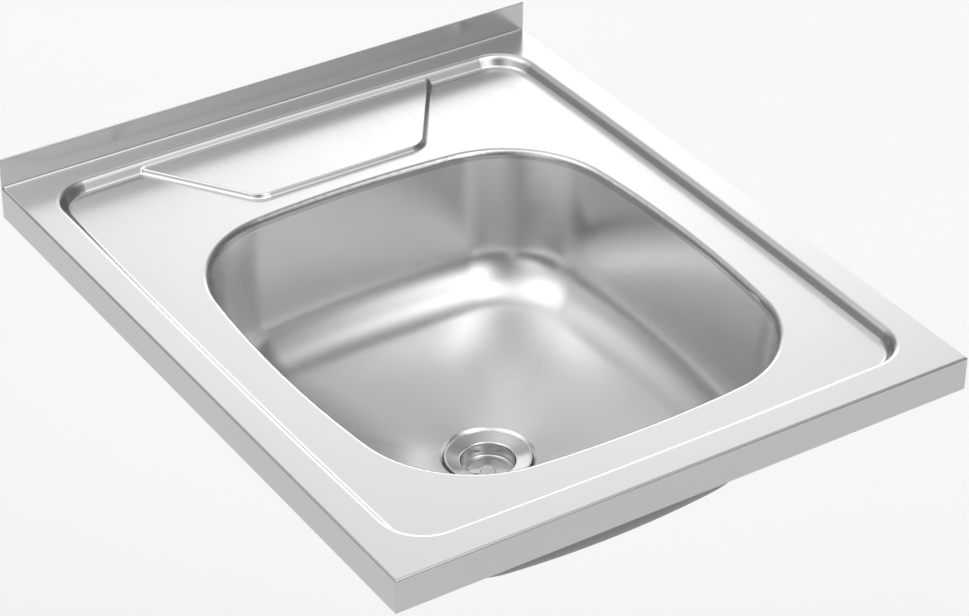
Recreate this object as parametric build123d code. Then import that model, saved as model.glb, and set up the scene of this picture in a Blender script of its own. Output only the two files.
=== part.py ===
from build123d import *
from math import atan2, cos, hypot, radians, sin, sqrt, tan
import os

# A lay-on kitchen sink: a pressed and folded steel deck with one drawn bowl,
# its strainer waste and four swing tabs that fix it to a base cabinet.
# Millimetres. The origin is the middle of the face that rests on the cabinet,
# +X to the right, +Y to the wall and +Z up.

# Deck sheet and its folded edges
SINK_WIDTH = 500.0
SINK_DEPTH = 600.0
SKIRT_HEIGHT = 29.0
UPSTAND_HEIGHT = 26.5
SHEET = 0.8
FOLD_RADIUS = 1.8
UPSTAND_FOOT_RADIUS = 2.0
HEM_GAP = 0.3
HEM_RADIUS = 0.9
CORNER_RADIUS = 1.0
RETURN_WIDTH = 16.0
LIP_HEIGHT = 16.0
LIP_BEND_RADIUS = 1.0

# Recessed field inside the border
BORDER_SIDE = 25.5
BORDER_FRONT = 27.5
BORDER_REAR = 22.5
FIELD_DROP = 9.0
FIELD_WALL_LEAN = 30.0
FIELD_CORNER = 33.0
FIELD_SIDE_BOW = 11000.0
FIELD_END_BOW = 8000.0
BROW_RADIUS = 6.0
VALLEY_RADIUS = 4.0

# Raised soap ledge at the rear of the field
LEDGE_RISE = 3.8
LEDGE_FRONT_WIDTH = 156.0
LEDGE_GAP_TO_BOWL = 19.5
LEDGE_SIDE_ANGLE = 34.7
LEDGE_CORNER = 20.0
LEDGE_LEAN = 30.0
LEDGE_RIDGE_RADIUS = 1.5

# Bowl
BOWL_WIDTH = 366.0
BOWL_LENGTH = 397.0
BOWL_FROM_FRONT = 68.0
BOWL_DEPTH = 157.0
BOWL_CORNER = 97.0
BOWL_SIDE_BOW = 1000.0
BOWL_FOOT_SHRINK = 14.0
BOWL_FOOT_CORNER = 72.0
BOWL_FOOT_BOW = 800.0
BOWL_FOOT_RADIUS = 50.0
FLOOR_FALL = 27.0
MOUTH_LIP_RADIUS = 4.5
WELD_COLLAR = 3.0

# Pressed seat for the waste, in the middle of the bowl floor
SEAT_MOUTH_RADIUS = 38.5
SEAT_STEP = 2.0
SEAT_SLOPE = 16.0
SEAT_HOLE_RADIUS = 25.0

# Strainer cup
CUP_SHEET = 1.0
CUP_RIM_RADIUS = 35.0
CUP_NECK_RADIUS = 21.8
CUP_RIM_BEAD = 0.9
CUP_ROLL_RADIUS = 2.2
CUP_DEPTH = 15.5
CUP_SEAL_THICKNESS = 1.5
STRAINER_OPENING_RADIUS = 17.6
STRAINER_HUB_RADIUS = 7.5
SPOKE_WIDTH = 5.5
SPOKE_CORNER = 1.0
SPOKE_COUNT = 4
SPOKE_TURN = 56.6

# Waste body below the bowl
BODY_SEAL_THICKNESS = 3.0
BODY_WALL = 2.8
BODY_FLANGE_RADIUS = 33.0
BODY_FLANGE_THICKNESS = 3.0
BODY_CHAMBER_RADIUS = 24.2
BODY_CHAMBER_DEPTH = 28.0
BODY_FUNNEL_HEIGHT = 10.0
OUTLET_THREAD_RADIUS = 23.9
OUTLET_THREAD_LENGTH = 18.0
OUTLET_BORE_RADIUS = 19.5
BRIDGE_DEPTH = 12.0
BRIDGE_HEIGHT = 14.0
BRIDGE_HUB_RADIUS = 7.5
BRIDGE_RIB = 3.0

# Clamping screw and its insert
SCREW_RADIUS = 3.0
SCREW_HEAD_RADIUS = 5.6
SCREW_HEAD_HEIGHT = 2.6
SCREW_TIP = 4.0
SCREW_SLOT_WIDTH = 1.2
SCREW_SLOT_DEPTH = 1.2
SCREW_DIMPLE_RIM = 0.5
INSERT_RADIUS = 5.0
INSERT_HEIGHT = 10.0

# Damping pads glued under the bowl floor
PAD_THICKNESS = 3.0
PAD_WIDTH = 58.0
PAD_LENGTH = 150.0
PAD_CORNER = 8.0
PAD_FROM_WASTE = 12.0

# Swing tabs on the lip of the folded edge
TAB_LENGTH = 40.0
TAB_WIDTH = 13.0
TAB_THICKNESS = 1.5
TAB_PIVOT_FROM_MIDDLE = 190.0
TAB_HOLE_RADIUS = 2.25
RIVET_RADIUS = 2.5
RIVET_HEAD_RADIUS = 4.5
RIVET_HEAD_HEIGHT = 1.2

# Clearances
FACE_GAP = 0.3
GLUE_GAP = 0.05
RUNNING_GAP = 0.05
SCREW_GAP = 0.2

# How far apart two heights or places may be and still count as one
TOLERANCE = 1e-3

# Levels and places that follow from the sizes above
deck_z = SKIRT_HEIGHT
half_width = SINK_WIDTH / 2
half_depth = SINK_DEPTH / 2
upstand_thickness = 2 * SHEET + HEM_GAP
field_z = deck_z - FIELD_DROP
weld_z = field_z - MOUTH_LIP_RADIUS - WELD_COLLAR
bowl_y = -half_depth + BOWL_FROM_FRONT + BOWL_LENGTH / 2
floor_z = deck_z - BOWL_DEPTH
foot_z = floor_z + FLOOR_FALL
bowl_draft = atan2(BOWL_FOOT_SHRINK, field_z - foot_z)
field_y = (BORDER_FRONT - BORDER_REAR) / 2
ledge_front_y = bowl_y + BOWL_LENGTH / 2 + LEDGE_GAP_TO_BOWL
lip_x = half_width - RETURN_WIDTH
lip_y = half_depth - RETURN_WIDTH
tab_z = LIP_HEIGHT / 2
tab_reach = TAB_LENGTH - TAB_WIDTH
rivet_hole_radius = RIVET_RADIUS + RUNNING_GAP
seat_foot_radius = SEAT_MOUTH_RADIUS - SEAT_STEP
tab_places = {
    "front_left": (-1, -1),
    "front_right": (1, -1),
    "rear_left": (-1, 1),
    "rear_right": (1, 1),
}
slope_rise = tan(radians(SEAT_SLOPE))
slope_share = 1 / cos(radians(SEAT_SLOPE))


def corner_circle(half_x, half_y, bow_x, bow_y, corner):
    """Centre of the corner arc that is tangent to a bowed side and a bowed end."""
    side_centre = half_x - bow_x
    end_centre = half_y - bow_y
    to_side = bow_x - corner
    to_end = bow_y - corner
    apart = hypot(side_centre, end_centre)
    along = (to_side**2 - to_end**2 + apart**2) / (2 * apart)
    across = sqrt(to_side**2 - along**2)
    unit_x = -side_centre / apart
    unit_y = end_centre / apart
    foot_x = side_centre + along * unit_x
    foot_y = along * unit_y
    return foot_x - across * unit_y, foot_y + across * unit_x


def bowed_rectangle(half_x, half_y, bow_x, bow_y, corner, centre_y):
    """A rectangle with gently bowed sides and round corners: eight tangent arcs."""
    corner_x, corner_y = corner_circle(half_x, half_y, bow_x, bow_y, corner)
    side_angle = atan2(corner_y, corner_x - (half_x - bow_x))
    end_angle = atan2(corner_y - (half_y - bow_y), corner_x)
    middle_angle = (side_angle + end_angle) / 2
    side_end = (half_x - bow_x + bow_x * cos(side_angle), bow_x * sin(side_angle))
    end_end = (bow_y * cos(end_angle), half_y - bow_y + bow_y * sin(end_angle))
    turn = (corner_x + corner * cos(middle_angle), corner_y + corner * sin(middle_angle))

    def place(point, sign_x, sign_y):
        return sign_x * point[0], centre_y + sign_y * point[1]

    arcs = []
    for sign_x in (1, -1):
        arcs.append(
            ThreePointArc(
                place(side_end, sign_x, -1), (sign_x * half_x, centre_y), place(side_end, sign_x, 1)
            )
        )
    for sign_y in (1, -1):
        arcs.append(
            ThreePointArc(
                place(end_end, -1, sign_y), (0, centre_y + sign_y * half_y), place(end_end, 1, sign_y)
            )
        )
        for sign_x in (1, -1):
            arcs.append(
                ThreePointArc(
                    place(side_end, sign_x, sign_y),
                    place(turn, sign_x, sign_y),
                    place(end_end, sign_x, sign_y),
                )
            )
    return make_face(Wire.combine(arcs)[0].edges())


def box_between(low, high):
    """A box given by its lowest and highest corners."""
    size = [high[i] - low[i] for i in range(3)]
    middle = [(high[i] + low[i]) / 2 for i in range(3)]
    return Pos(*middle) * Box(*size)


def turned(points, centre_y=0.0):
    """A ring or disc turned about the waste axis from a closed outline of (radius, height)."""
    outline = make_face(Polyline(*points, points[0]))
    return Pos(0, centre_y, 0) * revolve(Plane.XZ * outline, Axis.Z)


def level_edges(body, z):
    """Edges that lie at one height."""
    found = []
    for edge in body.edges():
        box = edge.bounding_box()
        if abs(box.min.Z - z) < TOLERANCE and abs(box.max.Z - z) < TOLERANCE:
            found.append(edge)
    return found


def within(edge, half_x, half_y, centre_y=0.0):
    """Whether the middle of an edge lies inside a rectangle in plan."""
    middle = edge.center()
    return abs(middle.X) <= half_x and abs(middle.Y - centre_y) <= half_y


def wall_shift(inset, lean):
    """How far a leaning wall's outline grows at the level of a face that is inset below the sheet."""
    return inset / cos(radians(lean)) - inset * tan(radians(lean))


def field_pocket(inset):
    """The hollow of the recessed field, less the soap ledge, down to a face inset below the sheet."""
    grow = wall_shift(inset, FIELD_WALL_LEAN)
    outline = bowed_rectangle(
        half_width - BORDER_SIDE + grow,
        half_depth - (BORDER_FRONT + BORDER_REAR) / 2 + grow,
        FIELD_SIDE_BOW + grow,
        FIELD_END_BOW + grow,
        FIELD_CORNER + grow,
        field_y,
    )
    top = deck_z - inset
    pocket = extrude(Pos(0, 0, top) * outline, FIELD_DROP, dir=(0, 0, -1), taper=FIELD_WALL_LEAN)
    rear = half_depth
    front_half = LEDGE_FRONT_WIDTH / 2
    rear_half = front_half + (rear - ledge_front_y) * tan(radians(LEDGE_SIDE_ANGLE))
    ledge_outline = make_face(
        Polyline(
            (-front_half, ledge_front_y),
            (front_half, ledge_front_y),
            (rear_half, rear),
            (-rear_half, rear),
            (-front_half, ledge_front_y),
        )
    )
    ledge_outline = fillet(ledge_outline.vertices().group_by(Axis.Y)[0], LEDGE_CORNER)
    shrink = wall_shift(inset, LEDGE_LEAN)
    if shrink > 0:
        ledge_outline = offset(ledge_outline, -shrink, kind=Kind.INTERSECTION)
    foot = top - FIELD_DROP
    ledge = extrude(Pos(0, 0, foot) * ledge_outline, LEDGE_RISE, taper=LEDGE_LEAN)
    ledge += extrude(Pos(0, 0, foot) * ledge_outline, -SHEET)
    return pocket - ledge


def foot_growth(inset):
    """How far the corner between wall and floor moves out and down for a face inset below the sheet."""
    slope = atan2(FLOOR_FALL, BOWL_WIDTH / 2 - BOWL_FOOT_SHRINK - SEAT_MOUTH_RADIUS)
    share = inset / cos(bowl_draft + slope)
    return share * (cos(slope) - sin(bowl_draft)), share * (cos(bowl_draft) - sin(slope))


def bowl_cavity(inset):
    """The inside of the bowl, or of a bowl that is larger by the inset all round."""
    grow = inset / cos(bowl_draft)
    mouth = bowed_rectangle(
        BOWL_WIDTH / 2 + grow,
        BOWL_LENGTH / 2 + grow,
        BOWL_SIDE_BOW + grow,
        BOWL_SIDE_BOW + grow,
        BOWL_CORNER + grow,
        bowl_y,
    )
    out, down = foot_growth(inset)
    foot = bowed_rectangle(
        BOWL_WIDTH / 2 - BOWL_FOOT_SHRINK + out,
        BOWL_LENGTH / 2 - BOWL_FOOT_SHRINK + out,
        BOWL_FOOT_BOW + out,
        BOWL_FOOT_BOW + out,
        BOWL_FOOT_CORNER + out,
        bowl_y,
    )
    foot_level = foot_z - down
    foot = Pos(0, 0, foot_level) * foot
    ring = []
    for edge in foot.edges():
        ends = [edge @ 0, edge @ 1]
        angles = [atan2(p.Y - bowl_y, p.X) for p in ends]
        if angles[1] - angles[0] > radians(180):
            angles[0] += radians(360)
        if angles[0] - angles[1] > radians(180):
            angles[1] += radians(360)
        angles.insert(1, sum(angles) / 2)
        ring.append(
            ThreePointArc(
                *[
                    (SEAT_MOUTH_RADIUS * cos(a), bowl_y + SEAT_MOUTH_RADIUS * sin(a), floor_z - inset)
                    for a in angles
                ]
            )
        )
    cavity = loft([Pos(0, 0, field_z) * mouth, foot], ruled=True)
    cavity += loft([foot, make_face(ring)], ruled=True)
    return fillet(level_edges(cavity, foot_level), BOWL_FOOT_RADIUS + inset)


def folded_block(inset):
    """The closed box inside the folded deck, with rounded long edges and mitred corners."""
    radius = FOLD_RADIUS - inset
    low, high = inset, deck_z - inset
    across = RectangleRounded(SINK_WIDTH - 2 * inset, high - low, radius)
    along = RectangleRounded(SINK_DEPTH - 2 * inset, high - low, radius)
    middle = (low + high) / 2
    side_form = extrude(Plane.XZ * Pos(0, middle, 0) * across, half_depth - inset, both=True)
    end_form = extrude(Plane.YZ * Pos(0, middle, 0) * along, half_width - inset, both=True)
    return side_form & end_form


def upstand_bend(radius):
    """Outline in Y and Z of the corner under the upstand, closed above by the foot bend."""
    centre_y = half_depth - upstand_thickness - UPSTAND_FOOT_RADIUS
    centre_z = deck_z + UPSTAND_FOOT_RADIUS
    rear = half_depth - SHEET
    low = deck_z - SHEET - FOLD_RADIUS
    turn = radius * sin(radians(45))
    start = (centre_y, centre_z - radius)
    end = (centre_y + radius, centre_z)
    bend = ThreePointArc(start, (centre_y + turn, centre_z - turn), end)
    return make_face([bend, Polyline(end, (rear, centre_z), (rear, low), (centre_y, low), start)])


def folded_shell():
    """The deck's plain top with its skirts, return flanges, lips and hemmed upstand."""
    front = half_depth - upstand_thickness
    top = deck_z + UPSTAND_HEIGHT
    wall = box_between((-half_width, front, deck_z - 2 * FOLD_RADIUS), (half_width, half_depth, top))
    hem_edges = [edge for edge in level_edges(wall, top) if edge.length > 2 * upstand_thickness]
    wall = fillet(hem_edges, HEM_RADIUS)
    foot = extrude(Plane.YZ * upstand_bend(UPSTAND_FOOT_RADIUS), half_width - FOLD_RADIUS, both=True)
    plan = extrude(RectangleRounded(SINK_WIDTH, SINK_DEPTH, CORNER_RADIUS), top)
    outer = (folded_block(0) + wall + foot) & plan
    slit = box_between(
        (-SINK_WIDTH, front + SHEET, deck_z + UPSTAND_FOOT_RADIUS - SHEET),
        (SINK_WIDTH, half_depth - SHEET, top - SHEET),
    )
    under_foot = extrude(
        Plane.YZ * upstand_bend(UPSTAND_FOOT_RADIUS + SHEET), half_width - SHEET, both=True
    )
    shell = outer - folded_block(SHEET) - under_foot - slit
    shell += box_between((-lip_x - SHEET, -lip_y - SHEET, 0), (lip_x + SHEET, lip_y + SHEET, LIP_HEIGHT))
    shell -= box_between((-lip_x, -lip_y, -1), (lip_x, lip_y, LIP_HEIGHT + 1))
    bend_x, bend_y = lip_x + 2 * SHEET, lip_y + 2 * SHEET
    inner_bends = [edge for edge in level_edges(shell, SHEET) if within(edge, bend_x, bend_y)]
    shell = fillet(inner_bends, LIP_BEND_RADIUS)
    outer_bends = [edge for edge in level_edges(shell, 0) if within(edge, bend_x, bend_y)]
    return fillet(outer_bends, LIP_BEND_RADIUS + SHEET)


def pressed_form(inset):
    """The air over the pressed deck, or over the underside of the sheet when inset by its thickness."""
    form = field_pocket(inset) + bowl_cavity(inset)
    foot = field_z - inset
    step = foot + LEDGE_RISE
    mouth_x = BOWL_WIDTH / 2 + 2 * MOUTH_LIP_RADIUS
    mouth_y = BOWL_LENGTH / 2 + 2 * MOUTH_LIP_RADIUS
    mouth = [edge for edge in level_edges(form, foot) if within(edge, mouth_x, mouth_y, bowl_y)]
    form = fillet(mouth, MOUTH_LIP_RADIUS - inset)
    ledge_rear = half_depth - BORDER_REAR - FIELD_DROP
    if inset == 0:
        # The hidden side of the sheet keeps a plain corner below the ridge.
        ridge = [edge for edge in level_edges(form, step) if edge.center().Y < ledge_rear]
        form = fillet(ridge, LEDGE_RIDGE_RADIUS)
    valleys = []
    for edge in form.edges():
        box = edge.bounding_box()
        if box.min.Z < foot - TOLERANCE or box.max.Z > step + TOLERANCE:
            continue
        at_foot = box.max.Z < foot + TOLERANCE
        in_mouth = within(edge, mouth_x, mouth_y, bowl_y)
        if (at_foot and not in_mouth) or (not at_foot and edge.center().Y > ledge_rear):
            valleys.append(edge)
    form = fillet(valleys, VALLEY_RADIUS + inset)
    top = deck_z - inset
    air_x = half_width - 2 * FOLD_RADIUS
    air_y = half_depth - upstand_thickness - UPSTAND_FOOT_RADIUS - SHEET
    form += box_between((-air_x, -air_y, top), (air_x, air_y, top + UPSTAND_HEIGHT))
    brow_x = half_width - BORDER_SIDE / 2
    brow_y = half_depth - BORDER_REAR / 2
    brow = [edge for edge in level_edges(form, top) if within(edge, brow_x, brow_y)]
    return fillet(brow, BROW_RADIUS - inset)


def sink_deck():
    """Deck sheet with its folded edges, pressed field, ledge and the collar of the bowl."""
    pressing = pressed_form(SHEET)
    pressing &= box_between((-half_width, -half_depth, weld_z), (half_width, half_depth, deck_z))
    deck = folded_shell() + pressing - pressed_form(0)
    hole = Cylinder(rivet_hole_radius, 4 * SHEET, rotation=(0, 90, 0))
    for side, end in tab_places.values():
        deck -= Pos(side * (lip_x + SHEET / 2), end * TAB_PIVOT_FROM_MIDDLE, tab_z) * hole
    return deck


def seat_z(radius):
    """Height of the waste seat's upper face."""
    return floor_z - SEAT_STEP - (seat_foot_radius - radius) * slope_rise


def bowl():
    """The drawn bowl below the weld, with the sunk seat for the waste in its floor."""
    shell = bowl_cavity(SHEET) - bowl_cavity(0)
    lowest = (-half_width, -half_depth, floor_z - 2 * SHEET)
    shell &= box_between(lowest, (half_width, half_depth, weld_z))
    shell -= Pos(0, bowl_y, floor_z) * Cylinder(SEAT_MOUTH_RADIUS, 4 * SHEET)
    drop = SHEET * slope_share
    seat = turned(
        [
            (SEAT_MOUTH_RADIUS, floor_z),
            (seat_foot_radius, seat_z(seat_foot_radius)),
            (SEAT_HOLE_RADIUS, seat_z(SEAT_HOLE_RADIUS)),
            (SEAT_HOLE_RADIUS, seat_z(SEAT_HOLE_RADIUS) - drop),
            (seat_foot_radius, seat_z(seat_foot_radius) - drop),
            (SEAT_MOUTH_RADIUS, floor_z - SHEET),
        ],
        bowl_y,
    )
    return shell + seat


cup_under_gap = CUP_SEAL_THICKNESS * slope_share
cup_top_gap = (CUP_SEAL_THICKNESS + CUP_SHEET) * slope_share
cup_bead_centre = CUP_RIM_RADIUS - CUP_RIM_BEAD
plate_top = seat_z(CUP_RIM_RADIUS) + cup_top_gap - CUP_DEPTH
screw_hole_radius = SCREW_RADIUS + SCREW_GAP
dimple_radius = SCREW_HEAD_RADIUS + SCREW_DIMPLE_RIM
dimple_depth = SCREW_HEAD_HEIGHT + SCREW_DIMPLE_RIM
body_top = seat_z(SEAT_HOLE_RADIUS) - SHEET * slope_share - BODY_SEAL_THICKNESS
bridge_top = body_top - BRIDGE_DEPTH
insert_foot = bridge_top - INSERT_HEIGHT


def near(face, places):
    """Corners of a flat outline that lie at the given places."""
    found = []
    for corner in face.vertices():
        for x, y in places:
            if hypot(corner.X - x, corner.Y - y) < TOLERANCE:
                found.append(corner)
    return found


def strainer_cup():
    """Turned sheet cup: beaded rim, sloping flange, neck and a plate with four openings."""
    neck_out = CUP_NECK_RADIUS + CUP_SHEET
    roll_top = (CUP_NECK_RADIUS, seat_z(CUP_NECK_RADIUS) + cup_top_gap)
    roll_under = (neck_out, seat_z(neck_out) + cup_under_gap)
    foot_in = (CUP_NECK_RADIUS, plate_top)
    foot_out = (neck_out, plate_top - CUP_SHEET)
    outline = make_face(
        Polyline(
            (cup_bead_centre, seat_z(cup_bead_centre) + cup_top_gap),
            roll_top,
            foot_in,
            (dimple_radius, plate_top),
            (screw_hole_radius, plate_top - dimple_depth),
            (screw_hole_radius, plate_top - dimple_depth - CUP_SHEET),
            (dimple_radius, plate_top - CUP_SHEET),
            foot_out,
            roll_under,
            (cup_bead_centre, seat_z(cup_bead_centre) + cup_under_gap),
            (cup_bead_centre, seat_z(cup_bead_centre) + cup_top_gap),
        )
    )
    outline = fillet(near(outline, [roll_top, foot_out]), CUP_ROLL_RADIUS)
    outline = fillet(near(outline, [roll_under, foot_in]), CUP_ROLL_RADIUS - CUP_SHEET)
    bead_z = seat_z(cup_bead_centre) + (cup_top_gap + cup_under_gap) / 2
    outline += Pos(cup_bead_centre, bead_z) * Circle(CUP_RIM_BEAD)
    cup = Pos(0, bowl_y, 0) * revolve(Plane.XZ * outline, Axis.Z)
    opening = Circle(STRAINER_OPENING_RADIUS) - Circle(STRAINER_HUB_RADIUS)
    for spoke in range(SPOKE_COUNT):
        turn = Rot(0, 0, SPOKE_TURN + spoke * 360 / SPOKE_COUNT)
        opening -= turn * Pos(CUP_NECK_RADIUS / 2, 0) * Rectangle(CUP_NECK_RADIUS, SPOKE_WIDTH)
    opening = fillet(opening.vertices(), SPOKE_CORNER)
    cup -= extrude(Pos(0, bowl_y, plate_top) * opening, 2 * CUP_SHEET, both=True)
    return cup


def sloping_ring(inner, outer, low_gap, high_gap):
    """A flat ring that follows the slope of the waste seat between two heights over it."""
    return turned(
        [
            (inner, seat_z(inner) + low_gap),
            (outer, seat_z(outer) + low_gap),
            (outer, seat_z(outer) + high_gap),
            (inner, seat_z(inner) + high_gap),
        ],
        bowl_y,
    )


def body_seal():
    """Wedge ring between the underside of the seat and the waste body's flange."""
    inner = SEAT_HOLE_RADIUS + FACE_GAP
    under = SHEET * slope_share + GLUE_GAP
    return turned(
        [
            (inner, body_top + GLUE_GAP),
            (BODY_FLANGE_RADIUS, body_top + GLUE_GAP),
            (BODY_FLANGE_RADIUS, seat_z(BODY_FLANGE_RADIUS) - under),
            (inner, seat_z(inner) - under),
        ],
        bowl_y,
    )


def waste_body():
    """Moulded body below the bowl: flange, chamber, funnel, outlet and the screw's bridge."""
    chamber_out = BODY_CHAMBER_RADIUS + BODY_WALL
    chamber_foot = body_top - BODY_CHAMBER_DEPTH
    outlet_top = chamber_foot - BODY_FUNNEL_HEIGHT
    outlet_foot = outlet_top - OUTLET_THREAD_LENGTH
    body = turned(
        [
            (BODY_CHAMBER_RADIUS, body_top),
            (BODY_FLANGE_RADIUS, body_top),
            (BODY_FLANGE_RADIUS, body_top - BODY_FLANGE_THICKNESS),
            (chamber_out, body_top - BODY_FLANGE_THICKNESS),
            (chamber_out, chamber_foot),
            (OUTLET_THREAD_RADIUS, outlet_top),
            (OUTLET_THREAD_RADIUS, outlet_foot),
            (OUTLET_BORE_RADIUS, outlet_foot),
            (OUTLET_BORE_RADIUS, outlet_top),
            (BODY_CHAMBER_RADIUS, chamber_foot),
        ],
        bowl_y,
    )
    middle = bridge_top - BRIDGE_HEIGHT / 2
    body += Pos(0, bowl_y, middle) * Cylinder(BRIDGE_HUB_RADIUS, BRIDGE_HEIGHT)
    arm = BODY_CHAMBER_RADIUS + BODY_WALL / 2
    rib = Pos(arm / 2, 0, 0) * Box(arm, BRIDGE_RIB, BRIDGE_HEIGHT)
    for spoke in range(SPOKE_COUNT):
        turn = Rot(0, 0, SPOKE_TURN + spoke * 360 / SPOKE_COUNT)
        body += Pos(0, bowl_y, middle) * turn * rib
    insert_hole = Cylinder(INSERT_RADIUS + GLUE_GAP, INSERT_HEIGHT + GLUE_GAP)
    body -= Pos(0, bowl_y, bridge_top - (INSERT_HEIGHT + GLUE_GAP) / 2) * insert_hole
    body -= Pos(0, bowl_y, middle) * Cylinder(screw_hole_radius, 2 * BRIDGE_HEIGHT)
    return body


def screw_insert():
    """Threaded bush that is set in the bridge, shown with a plain bore."""
    bush = Cylinder(INSERT_RADIUS, INSERT_HEIGHT) - Cylinder(screw_hole_radius, 2 * INSERT_HEIGHT)
    return Pos(0, bowl_y, insert_foot + INSERT_HEIGHT / 2) * bush


def clamp_screw():
    """Slotted countersunk screw that pulls the cup and the waste body together."""
    foot = bridge_top - BRIDGE_HEIGHT - SCREW_TIP
    screw = turned(
        [
            (0, plate_top),
            (SCREW_HEAD_RADIUS, plate_top),
            (SCREW_RADIUS, plate_top - SCREW_HEAD_HEIGHT),
            (SCREW_RADIUS, foot),
            (0, foot),
        ],
        bowl_y,
    )
    slot = Rot(0, 0, SPOKE_TURN) * Box(3 * SCREW_HEAD_RADIUS, SCREW_SLOT_WIDTH, 2 * SCREW_SLOT_DEPTH)
    return screw - Pos(0, bowl_y, plate_top) * slot


def damping_pad(side):
    """Rubber pad under the bowl floor, shaped to it, beside the waste."""
    inner = SHEET + GLUE_GAP
    skin = bowl_cavity(inner + PAD_THICKNESS) - bowl_cavity(inner)
    middle_x = SEAT_MOUTH_RADIUS + PAD_FROM_WASTE + PAD_WIDTH / 2
    low = floor_z - SHEET - 2 * PAD_THICKNESS
    footprint = RectangleRounded(PAD_WIDTH, PAD_LENGTH, PAD_CORNER)
    cutter = extrude(footprint, FLOOR_FALL + 4 * PAD_THICKNESS)
    return skin & (Pos(side * middle_x, bowl_y, low) * cutter)


def fixing_tab(side, end):
    """Swing tab, folded along the lip towards the middle of the sink."""
    plate = SlotCenterToCenter(tab_reach, TAB_WIDTH)
    plate -= Pos(-tab_reach / 2, 0) * Circle(rivet_hole_radius)
    plate -= Pos(tab_reach / 2, 0) * Circle(TAB_HOLE_RADIUS)
    pivot = (side * (lip_x - FACE_GAP - TAB_THICKNESS), end * TAB_PIVOT_FROM_MIDDLE, tab_z)
    place = Plane(origin=pivot, x_dir=(0, -end, 0), z_dir=(side, 0, 0))
    return place * Pos(tab_reach / 2, 0, 0) * extrude(plate, TAB_THICKNESS)


def tab_rivet(side, end):
    """Rivet through a tab and the lip, with a head on each side."""
    inner = lip_x - 2 * FACE_GAP - TAB_THICKNESS
    outer = lip_x + SHEET + GLUE_GAP
    shank = Cylinder(RIVET_RADIUS, outer - inner + RIVET_HEAD_HEIGHT)
    shank = Pos((inner + outer) / 2, 0, 0) * Rot(0, 90, 0) * shank
    for face, way in ((inner, -1), (outer, 1)):
        head = Cylinder(RIVET_HEAD_RADIUS, RIVET_HEAD_HEIGHT)
        shank += Pos(face + way * RIVET_HEAD_HEIGHT / 2, 0, 0) * Rot(0, 90, 0) * head
    turn = 0 if side > 0 else 180
    return Pos(0, end * TAB_PIVOT_FROM_MIDDLE, tab_z) * Rot(0, 0, turn) * shank


nodes = {
    "sink_deck": sink_deck(),
    "bowl": bowl(),
    "damping_pad_left": damping_pad(-1),
    "damping_pad_right": damping_pad(1),
    "strainer_cup": strainer_cup(),
    "cup_seal": sloping_ring(
        SEAT_HOLE_RADIUS + CUP_SEAL_THICKNESS,
        CUP_RIM_RADIUS - CUP_SHEET,
        GLUE_GAP,
        cup_under_gap - GLUE_GAP,
    ),
    "body_seal": body_seal(),
    "waste_body": waste_body(),
    "screw_insert": screw_insert(),
    "clamp_screw": clamp_screw(),
}
for place, (side, end) in tab_places.items():
    nodes[f"fixing_tab_{place}"] = fixing_tab(side, end)
    nodes[f"tab_rivet_{place}"] = tab_rivet(side, end)

os.makedirs("parts", exist_ok=True)
for name, solid in nodes.items():
    export_step(solid, f"parts/{name}.step")
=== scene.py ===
import bmesh
import bpy
from math import atan2, cos, hypot, pi, radians, sin, sqrt, tan
from mathutils import Matrix, Vector


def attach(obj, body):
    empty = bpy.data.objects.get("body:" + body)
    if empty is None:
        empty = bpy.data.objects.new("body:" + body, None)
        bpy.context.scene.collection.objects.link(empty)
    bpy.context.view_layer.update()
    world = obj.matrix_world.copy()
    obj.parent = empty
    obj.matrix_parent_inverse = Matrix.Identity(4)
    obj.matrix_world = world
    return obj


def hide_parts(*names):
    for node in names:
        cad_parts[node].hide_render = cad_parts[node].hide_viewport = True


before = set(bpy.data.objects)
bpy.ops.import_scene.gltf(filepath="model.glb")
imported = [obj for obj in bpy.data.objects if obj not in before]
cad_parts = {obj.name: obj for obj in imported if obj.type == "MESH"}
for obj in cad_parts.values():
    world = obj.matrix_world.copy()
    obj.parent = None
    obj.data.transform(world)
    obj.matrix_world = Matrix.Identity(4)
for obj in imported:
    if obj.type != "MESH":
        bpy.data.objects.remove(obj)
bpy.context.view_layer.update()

# Lengths are in millimetres, as on a drawing, and become metres where a mesh or a pattern is made.
MM = 0.001

# Bowl, drawn from one sheet. Its mouth is joined to the deck 7.5 mm below the recessed field.
BOWL_Y = -33.5
MOUTH_HALF_X = 183.0
MOUTH_HALF_Y = 198.5
MOUTH_BOW = 1000.0
MOUTH_CORNER = 97.0
FOOT_SHRINK = 14.0
FOOT_BOW = 800.0
FOOT_CORNER = 72.0
FOOT_RADIUS = 50.0
FIELD_Z = 20.0
WELD_Z = 12.5
FOOT_Z = -101.0
FLOOR_Z = -128.0
SHEET = 0.8

# Sunk seat for the waste: radii, the step down into it and the slope of its face in degrees
SEAT_MOUTH = 38.5
SEAT_MIDDLE = 31.0
SEAT_HOLE = 25.0
SEAT_STEP = 2.0
SEAT_SLOPE = 16.0

# Fineness of the bowl: steps along the side, the corner and the end, then down the wall, bend and floor
ARC_STEPS = (20, 44, 20)
WALL_STEPS = 14
BEND_STEPS = 20
FLOOR_STEPS = 16
SHARP_EDGE = radians(30)
SAME_POINT = 1e-6

# Sheet finish: tones of the top and the bowl, a darker tone painted on the folded edges as painted shade
# of the sides, roughness and how far the brush varies it
SIDE_SHADE_TONE = "BCBCBC"
TOP_TONE = "DADADA"
TOP_ROUGH = 0.22
BOWL_LOW = "D6D6D6"
BOWL_HIGH = "DBDBDB"
BOWL_ROUGH = 0.24
BRUSH_ROUGH = 0.03

# Floor, in metres
FLOOR_SIZE = 40
FLOOR_HEIGHT = -0.87

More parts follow.
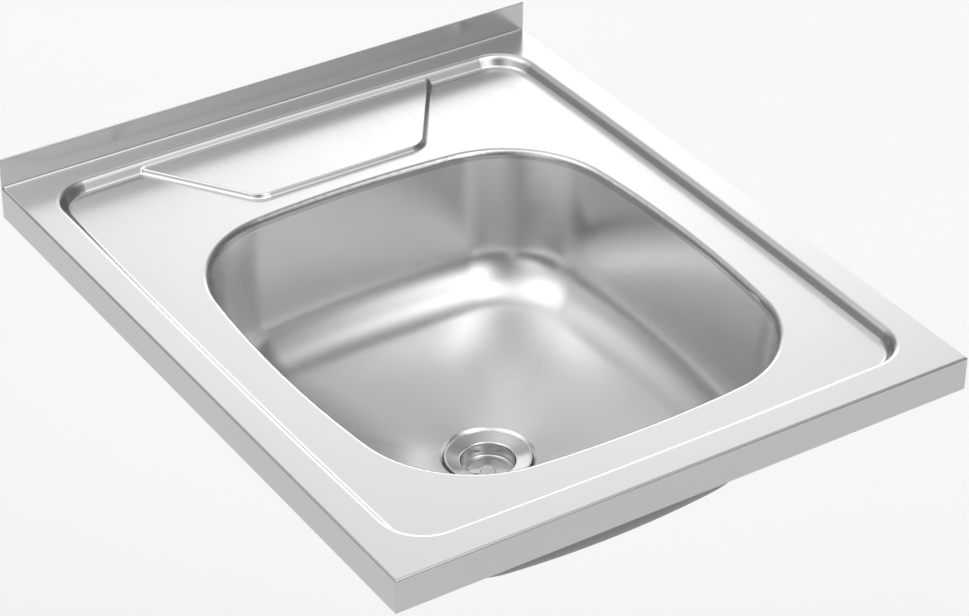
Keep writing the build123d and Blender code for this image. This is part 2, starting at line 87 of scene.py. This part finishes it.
# Studio light: a dim room and six soft lamps far away, each with its azimuth from the front to the right,
# its elevation in degrees, its sharpness and its strength
ROOM = 0.19
LAMPS = [
    (145, 17, 24.0, 2.5),
    (-104, 57, 7.4, 1.95),
    (23, 65, 24.0, 2.35),
    (152, 54, 24.0, 0.67),
    (-61, 16, 24.0, 0.93),
    (9, 34, 24.0, 2.1),
]

# Camera: where it looks from in degrees, what it looks at and from how far in metres, and its focal
# length in pixels of a picture 969 wide
VIEW_AZIMUTH = -33.39
VIEW_ELEVATION = 33.52
ROLL = radians(0.65)
TARGET = Vector((-0.0177, -0.0527, 0.029))
DISTANCE = 2.4741
FOCAL_PIXELS = 3265.7
PICTURE_WIDTH = 969
SENSOR = 36


def linear(colour):
    """An sRGB hex colour as linear RGBA."""
    values = []
    for start in (0, 2, 4):
        value = int(colour[start:start + 2], 16) / 255
        values.append(value / 12.92 if value <= 0.04045 else ((value + 0.055) / 1.055) ** 2.4)
    return values + [1.0]


def node(tree, kind, links=None, **settings):
    """Adds one shader node. Settings name its properties or its sockets, links name its inputs."""
    made = tree.nodes.new(kind)
    for name, value in settings.items():
        label = name.replace("_", " ").title()
        if hasattr(made, name):
            setattr(made, name, value)
        elif label in made.inputs:
            made.inputs[label].default_value = value
        else:
            raise KeyError(f"{kind} has no {name}")
    for name, source in (links or {}).items():
        tree.links.new(source, made.inputs[name])
    return made


# Bowl


def outline(half_x, half_y, bow, corner):
    """Points and outward normals round a rectangle with bowed sides and round corners."""
    side = half_x - bow
    end = half_y - bow
    apart = hypot(side, end)
    across = sqrt((bow - corner) ** 2 - (apart / 2) ** 2)
    corner_x = side / 2 - across * end / apart
    corner_y = end / 2 - across * side / apart
    side_turn = atan2(corner_y, corner_x - side)
    end_turn = atan2(corner_y - end, corner_x)
    arcs = [
        (side, 0.0, bow, 0.0, side_turn),
        (corner_x, corner_y, corner, side_turn, end_turn),
        (0.0, end, bow, end_turn, pi / 2),
    ]
    quarter = []
    for (x, y, radius, start, stop), steps in zip(arcs, ARC_STEPS):
        for step in range(steps):
            turn = start + (stop - start) * step / steps
            quarter.append((x + radius * cos(turn), y + radius * sin(turn), cos(turn), sin(turn)))
    quarter.append((0.0, half_y, 0.0, 1.0))
    half = quarter + [(-x, y, -nx, ny) for x, y, nx, ny in quarter[-2::-1]]
    return half + [(x, -y, nx, -ny) for x, y, nx, ny in half[-2:0:-1]]


def bowl_profile(mouth, foot):
    """One line down the bowl: along the wall, round the bend and over the sloping floor to the seat."""
    mx, my, _, _ = mouth
    fx, fy, nx, ny = foot
    reach = hypot(fx, fy)
    sx, sy = SEAT_MOUTH * fx / reach, SEAT_MOUTH * fy / reach
    draft = atan2((mx - fx) * nx + (my - fy) * ny, FIELD_Z - FOOT_Z)
    inward = (fx - sx) * nx + (fy - sy) * ny
    fall = atan2(FOOT_Z - FLOOR_Z, inward)
    run = FOOT_RADIUS / tan((pi / 2 + draft + fall) / 2)
    wall_z = FOOT_Z + run * cos(draft)
    centre_in = FOOT_RADIUS * cos(draft) - run * sin(draft)
    centre_z = wall_z + FOOT_RADIUS * sin(draft)
    line = []
    for step in range(WALL_STEPS + 1):
        z = WELD_Z + (wall_z - WELD_Z) * step / WALL_STEPS
        share = (FIELD_Z - z) / (FIELD_Z - FOOT_Z)
        line.append((mx + (fx - mx) * share, my + (fy - my) * share, z))
    for step in range(1, BEND_STEPS + 1):
        turn = pi + draft + (pi / 2 - fall - draft) * step / BEND_STEPS
        inset = centre_in + FOOT_RADIUS * cos(turn)
        share = inset / inward
        x = fx - nx * inset + (sx - fx + nx * inward) * share
        y = fy - ny * inset + (sy - fy + ny * inward) * share
        line.append((x, y, centre_z + FOOT_RADIUS * sin(turn)))
    x, y, z = line[-1]
    for step in range(1, FLOOR_STEPS + 1):
        share = step / FLOOR_STEPS
        line.append((x + (sx - x) * share, y + (sy - y) * share, z + (FLOOR_Z - z) * share))
    slope = tan(radians(SEAT_SLOPE))
    seat_foot = SEAT_MOUTH - SEAT_STEP
    for radius in (seat_foot, SEAT_MIDDLE, SEAT_HOLE):
        z = FLOOR_Z - SEAT_STEP - (seat_foot - radius) * slope
        line.append((sx * radius / SEAT_MOUTH, sy * radius / SEAT_MOUTH, z))
    return line


def drawn_bowl():
    """The bowl as a sheet: a grid bent to the profiles, then made solid to the outside."""
    mouth = outline(MOUTH_HALF_X, MOUTH_HALF_Y, MOUTH_BOW, MOUTH_CORNER)
    foot = outline(MOUTH_HALF_X - FOOT_SHRINK, MOUTH_HALF_Y - FOOT_SHRINK, FOOT_BOW, FOOT_CORNER)
    profiles = [bowl_profile(*ends) for ends in zip(mouth, foot)]
    around = len(profiles)
    rows = len(profiles[0])
    bm = bmesh.new()
    bmesh.ops.create_grid(bm, x_segments=around, y_segments=rows - 1, size=1)
    for vert in bm.verts:
        place = round((vert.co.x + 1) / 2 * around) % around
        row = round((vert.co.y + 1) / 2 * (rows - 1))
        x, y, z = profiles[place][row]
        vert.co = Vector((x, BOWL_Y + y, z)) * MM
    bmesh.ops.remove_doubles(bm, verts=bm.verts, dist=SAME_POINT)
    bmesh.ops.recalc_face_normals(bm, faces=bm.faces)
    lowest = min(bm.faces, key=lambda face: face.calc_center_median().z)
    if lowest.normal.z < 0:
        bmesh.ops.reverse_faces(bm, faces=bm.faces)
    inside = set(bm.faces)
    bmesh.ops.solidify(bm, geom=bm.faces[:], thickness=SHEET * MM)
    for face in bm.faces:
        face.smooth = True
        face.material_index = 0 if face in inside else 1
    for edge in bm.edges:
        edge.smooth = edge.calc_face_angle(0) < SHARP_EDGE
    # the outer faces take the underside material, whose dark mid grey is painted shade
    return add_piece("drawn_bowl", bm, [bowl_steel, underside_painted_shade], "sink", "bowl")


def add_piece(name, bm, materials, body, replaced):
    """Turns a bmesh into a piece that rides a body in place of a node of the frame."""
    mesh = bpy.data.meshes.new(name)
    bm.to_mesh(mesh)
    bm.free()
    for material in materials:
        mesh.materials.append(material)
    piece = bpy.data.objects.new(name, mesh)
    bpy.context.scene.collection.objects.link(piece)
    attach(piece, body)
    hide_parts(replaced)
    return piece


# Materials


def finish(name, metallic, roughness):
    """A new material: its node tree, its shader and the object's own coordinates in metres."""
    made = bpy.data.materials.new(name)
    made.use_nodes = True
    tree = made.node_tree
    shader = tree.nodes["Principled BSDF"]
    shader.inputs["Metallic"].default_value = metallic
    shader.inputs["Roughness"].default_value = roughness
    place = node(tree, "ShaderNodeTexCoord").outputs["Object"]
    return made, tree, shader, place


def grain(tree, place, size, detail=3.0):
    """Noise whose grains have the given sizes in millimetres along X, Y and Z."""
    scale = [1 / (length * MM) for length in size]
    laid = node(tree, "ShaderNodeMapping", {"Vector": place}, Scale=scale)
    noise = node(tree, "ShaderNodeTexNoise", {"Vector": laid.outputs[0]}, Scale=1.0, Detail=detail)
    return noise.outputs[0]


def colour(tree, shader, mask, low, high):
    """Lets a mask colour the shader between two sRGB hex colours."""
    mix = node(tree, "ShaderNodeMix", {"Factor": mask}, data_type="RGBA")
    mix.inputs[6].default_value = linear(low)
    mix.inputs[7].default_value = linear(high)
    tree.links.new(mix.outputs[2], shader.inputs["Base Color"])


def gloss(tree, shader, mask, low, high):
    """Lets a mask vary the roughness between two values."""
    spread = node(tree, "ShaderNodeMapRange", {"Value": mask}, From_Min=0.3, From_Max=0.7)
    spread.inputs["To Min"].default_value = low
    spread.inputs["To Max"].default_value = high
    tree.links.new(spread.outputs[0], shader.inputs["Roughness"])


def relief(tree, shader, height, strength, depth):
    """Bumps the surface by a height of so many millimetres."""
    bump = node(tree, "ShaderNodeBump", {"Height": height}, Strength=strength, Distance=depth * MM)
    tree.links.new(bump.outputs[0], shader.inputs["Normal"])


def rings(tree, place, period, centre_y):
    """Fine turning marks: circles about the waste's axis, so many millimetres apart."""
    laid = node(tree, "ShaderNodeMapping", {"Vector": place}, Location=(0, -centre_y * MM, 0))
    wave = node(tree, "ShaderNodeTexWave", {"Vector": laid.outputs[0]}, Distortion=2.0, Detail=2.0)
    wave.wave_type = "RINGS"
    wave.rings_direction = "Z"
    wave.inputs["Scale"].default_value = pi / (10 * period * MM)
    return wave.outputs["Fac"]


# Stainless sheet with a fine satin brush along the sink: pale silver on top, its lines only just seen;
# faces that turn from upward, the folded skirts and the upstand, are painted greyer as painted shade, with
# a little random cloud in the tone
satin_steel, tree, shader, place = finish("satin_stainless_sheet", 1.0, TOP_ROUGH)
brush = grain(tree, place, (0.5, 40, 0.5))
facing = node(tree, "ShaderNodeSeparateXYZ", {"Vector": place.node.outputs["Normal"]}).outputs["Z"]
upward = node(tree, "ShaderNodeMath", {0: facing}, operation="ABSOLUTE").outputs[0]
# painted shade: the more a face turns from upward, the nearer its colour goes to the darker side tone
painted_side_shade = node(tree, "ShaderNodeMapRange", {"Value": upward}, From_Min=0.3, From_Max=0.8).outputs[0]
clouds = grain(tree, place, (90, 120, 90), 1.0)
side_shade_and_clouds = node(tree, "ShaderNodeMix", {2: painted_side_shade, 3: clouds}, Factor=0.12)
colour(tree, shader, side_shade_and_clouds.outputs[0], SIDE_SHADE_TONE, TOP_TONE)
gloss(tree, shader, brush, TOP_ROUGH - BRUSH_ROUGH, TOP_ROUGH + BRUSH_ROUGH)
relief(tree, shader, brush, 0.06, 0.01)

# The same sheet where it was drawn: the brush is stretched and softer, so the bowl looks smoother and
# foggier
bowl_steel, tree, shader, place = finish("satin_stainless_bowl", 1.0, BOWL_ROUGH)
stretched = grain(tree, place, (6, 6, 0.7))
colour(tree, shader, grain(tree, place, (60, 60, 50), 1.0), BOWL_LOW, BOWL_HIGH)
gloss(tree, shader, stretched, BOWL_ROUGH - BRUSH_ROUGH, BOWL_ROUGH + BRUSH_ROUGH)
relief(tree, shader, stretched, 0.05, 0.01)

# Underside of the bowl as it leaves the press: dull, with draw marks, never polished, and coloured a dark
# mid grey as painted shade of the bowl's underside
underside_painted_shade, tree, shader, place = finish("dull_underside_painted_shade", 1.0, 0.45)
marks = grain(tree, place, (4, 4, 40))
colour(tree, shader, marks, "6F7173", "858788")
gloss(tree, shader, marks, 0.38, 0.52)
relief(tree, shader, marks, 0.15, 0.03)

# Turned and polished stainless of the waste cup: brighter than the sheet, with fine rings round its axis
turned_steel, tree, shader, place = finish("turned_polished_stainless", 1.0, 0.17)
turning = rings(tree, place, 0.5, BOWL_Y)
colour(tree, shader, grain(tree, place, (12, 12, 12)), "D0D0CF", "DCDCDB")
gloss(tree, shader, turning, 0.13, 0.21)
relief(tree, shader, turning, 0.08, 0.01)

# Stainless screw, bright and a little scratched by the driver
screw_steel, tree, shader, place = finish("bright_stainless_screw", 1.0, 0.2)
scratches = grain(tree, place, (0.2, 3, 3))
colour(tree, shader, grain(tree, place, (5, 5, 5)), "C6C7C7", "DADADA")
gloss(tree, shader, scratches, 0.14, 0.3)
relief(tree, shader, scratches, 0.1, 0.02)

# Grey moulded rubber of the seals: matt, with a faint pale bloom
seal_rubber, tree, shader, place = finish("grey_seal_rubber", 0.0, 0.55)
bloom = grain(tree, place, (3, 3, 3))
colour(tree, shader, bloom, "8C8C8A", "9C9C9A")
gloss(tree, shader, bloom, 0.5, 0.65)
relief(tree, shader, grain(tree, place, (0.4, 0.4, 0.4)), 0.15, 0.03)

# Damping pads: dark bitumen rubber with a pebbled, slightly greasy face
pad_rubber, tree, shader, place = finish("bitumen_damping_pad", 0.0, 0.6)
pebbles = node(tree, "ShaderNodeTexVoronoi", {"Vector": place}, Scale=1 / (2.2 * MM)).outputs["Distance"]
colour(tree, shader, grain(tree, place, (14, 14, 14)), "232120", "343130")
gloss(tree, shader, grain(tree, place, (8, 8, 8)), 0.48, 0.7)
relief(tree, shader, pebbles, 0.4, 0.25)

# White moulded polypropylene of the waste body: slightly warm, half gloss, and its thin walls let light
# through
white_plastic, tree, shader, place = finish("white_polypropylene", 0.0, 0.38)
shader.inputs["Subsurface Weight"].default_value = 0.8
shader.inputs["Subsurface Radius"].default_value = (1.0, 0.98, 0.92)
shader.inputs["Subsurface Scale"].default_value = 8 * MM
colour(tree, shader, grain(tree, place, (25, 25, 25), 1.0), "F5F5F2", "FAFAF8")
gloss(tree, shader, grain(tree, place, (6, 6, 6)), 0.33, 0.45)
relief(tree, shader, grain(tree, place, (0.35, 0.35, 0.35)), 0.08, 0.02)

# Brass bush: turned yellow metal, a little browned
brass, tree, shader, place = finish("turned_brass", 1.0, 0.3)
colour(tree, shader, grain(tree, place, (2, 2, 2)), "B08D4A", "CDAE6C")
turning = rings(tree, place, 0.4, BOWL_Y)
gloss(tree, shader, turning, 0.24, 0.38)
relief(tree, shader, turning, 0.15, 0.02)

# Zinc-plated steel of the swing tabs: bluish grey with a cloudy yellowish cast
zinc, tree, shader, place = finish("zinc_plated_steel", 1.0, 0.34)
lines = grain(tree, place, (0.3, 6, 0.3))
colour(tree, shader, grain(tree, place, (5, 5, 5), 2.0), "A9AFB6", "BDBCB2")
gloss(tree, shader, lines, 0.28, 0.42)
relief(tree, shader, lines, 0.1, 0.02)

# Aluminium rivets: pale, dull, with small dents from the setting tool
aluminium, tree, shader, place = finish("dull_aluminium_rivet", 1.0, 0.4)
dents = grain(tree, place, (0.8, 0.8, 0.8))
colour(tree, shader, dents, "B4B5B6", "C9C9C8")
gloss(tree, shader, dents, 0.34, 0.48)
relief(tree, shader, dents, 0.25, 0.05)

node_finishes = {
    "sink_deck": satin_steel,
    "bowl": bowl_steel,
    "strainer_cup": turned_steel,
    "clamp_screw": screw_steel,
    "cup_seal": seal_rubber,
    "body_seal": seal_rubber,
    "waste_body": white_plastic,
    "screw_insert": brass,
    "damping_pad_left": pad_rubber,
    "damping_pad_right": pad_rubber,
}
for name, cad_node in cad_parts.items():
    if name.startswith("fixing_tab"):
        chosen = zinc
    elif name.startswith("tab_rivet"):
        chosen = aluminium
    else:
        chosen = node_finishes[name]
    cad_node.data.materials.clear()
    cad_node.data.materials.append(chosen)

drawn_bowl()

# Floor: plain matt white paper, well below the sink, with a trace of tone in it
paper, tree, shader, place = finish("white_paper", 0.0, 1.0)
colour(tree, shader, grain(tree, place, (600, 600, 600), 1.0), "FCFCFC", "FEFEFE")
bpy.ops.mesh.primitive_plane_add(size=FLOOR_SIZE, location=(0, 0, FLOOR_HEIGHT))
floor = bpy.context.object
floor.name = "floor"
floor.data.materials.append(paper)


# Studio light, and the camera at the photograph's view from above and front left


def direction(azimuth, elevation):
    """A unit vector to a place in the room."""
    a, e = radians(azimuth), radians(elevation)
    return Vector((sin(a) * cos(e), -cos(a) * cos(e), sin(e)))


world = bpy.data.worlds.new("studio")
bpy.context.scene.world = world
world.use_nodes = True
tree = world.node_tree
tree.nodes.clear()
where = node(tree, "ShaderNodeTexCoord").outputs["Generated"]
total = node(tree, "ShaderNodeValue").outputs[0]
total.default_value = ROOM
for azimuth, elevation, sharpness, strength in LAMPS:
    along = node(tree, "ShaderNodeVectorMath", {0: where}, operation="DOT_PRODUCT")
    along.inputs[1].default_value = direction(azimuth, elevation)
    fall = node(tree, "ShaderNodeMath", {0: along.outputs["Value"]}, operation="MULTIPLY_ADD")
    fall.inputs[1].default_value = sharpness
    fall.inputs[2].default_value = -sharpness
    glow = node(tree, "ShaderNodeMath", {0: fall.outputs[0]}, operation="EXPONENT")
    added = node(tree, "ShaderNodeMath", {0: glow.outputs[0], 2: total}, operation="MULTIPLY_ADD")
    added.inputs[1].default_value = strength
    total = added.outputs[0]
white = (1.0, 1.0, 1.0, 1.0)
background = node(tree, "ShaderNodeBackground", {"Strength": total}, Color=white)
node(tree, "ShaderNodeOutputWorld", {"Surface": background.outputs[0]})

back = direction(VIEW_AZIMUTH, VIEW_ELEVATION)
right = (-back).cross(Vector((0, 0, 1))).normalized()
up = back.cross(right)
turned_right = cos(ROLL) * right + sin(ROLL) * up
turned_up = cos(ROLL) * up - sin(ROLL) * right
lens = bpy.data.cameras.new("camera")
lens.sensor_width = SENSOR
lens.lens = FOCAL_PIXELS / PICTURE_WIDTH * SENSOR
lens.clip_end = 100
camera = bpy.data.objects.new("camera", lens)
bpy.context.scene.collection.objects.link(camera)
stand = Matrix.Translation(TARGET + back * DISTANCE)
camera.matrix_world = stand @ Matrix((turned_right, turned_up, back)).transposed().to_4x4()
bpy.context.scene.camera = camera
bpy.context.scene.view_settings.view_transform = "Standard"
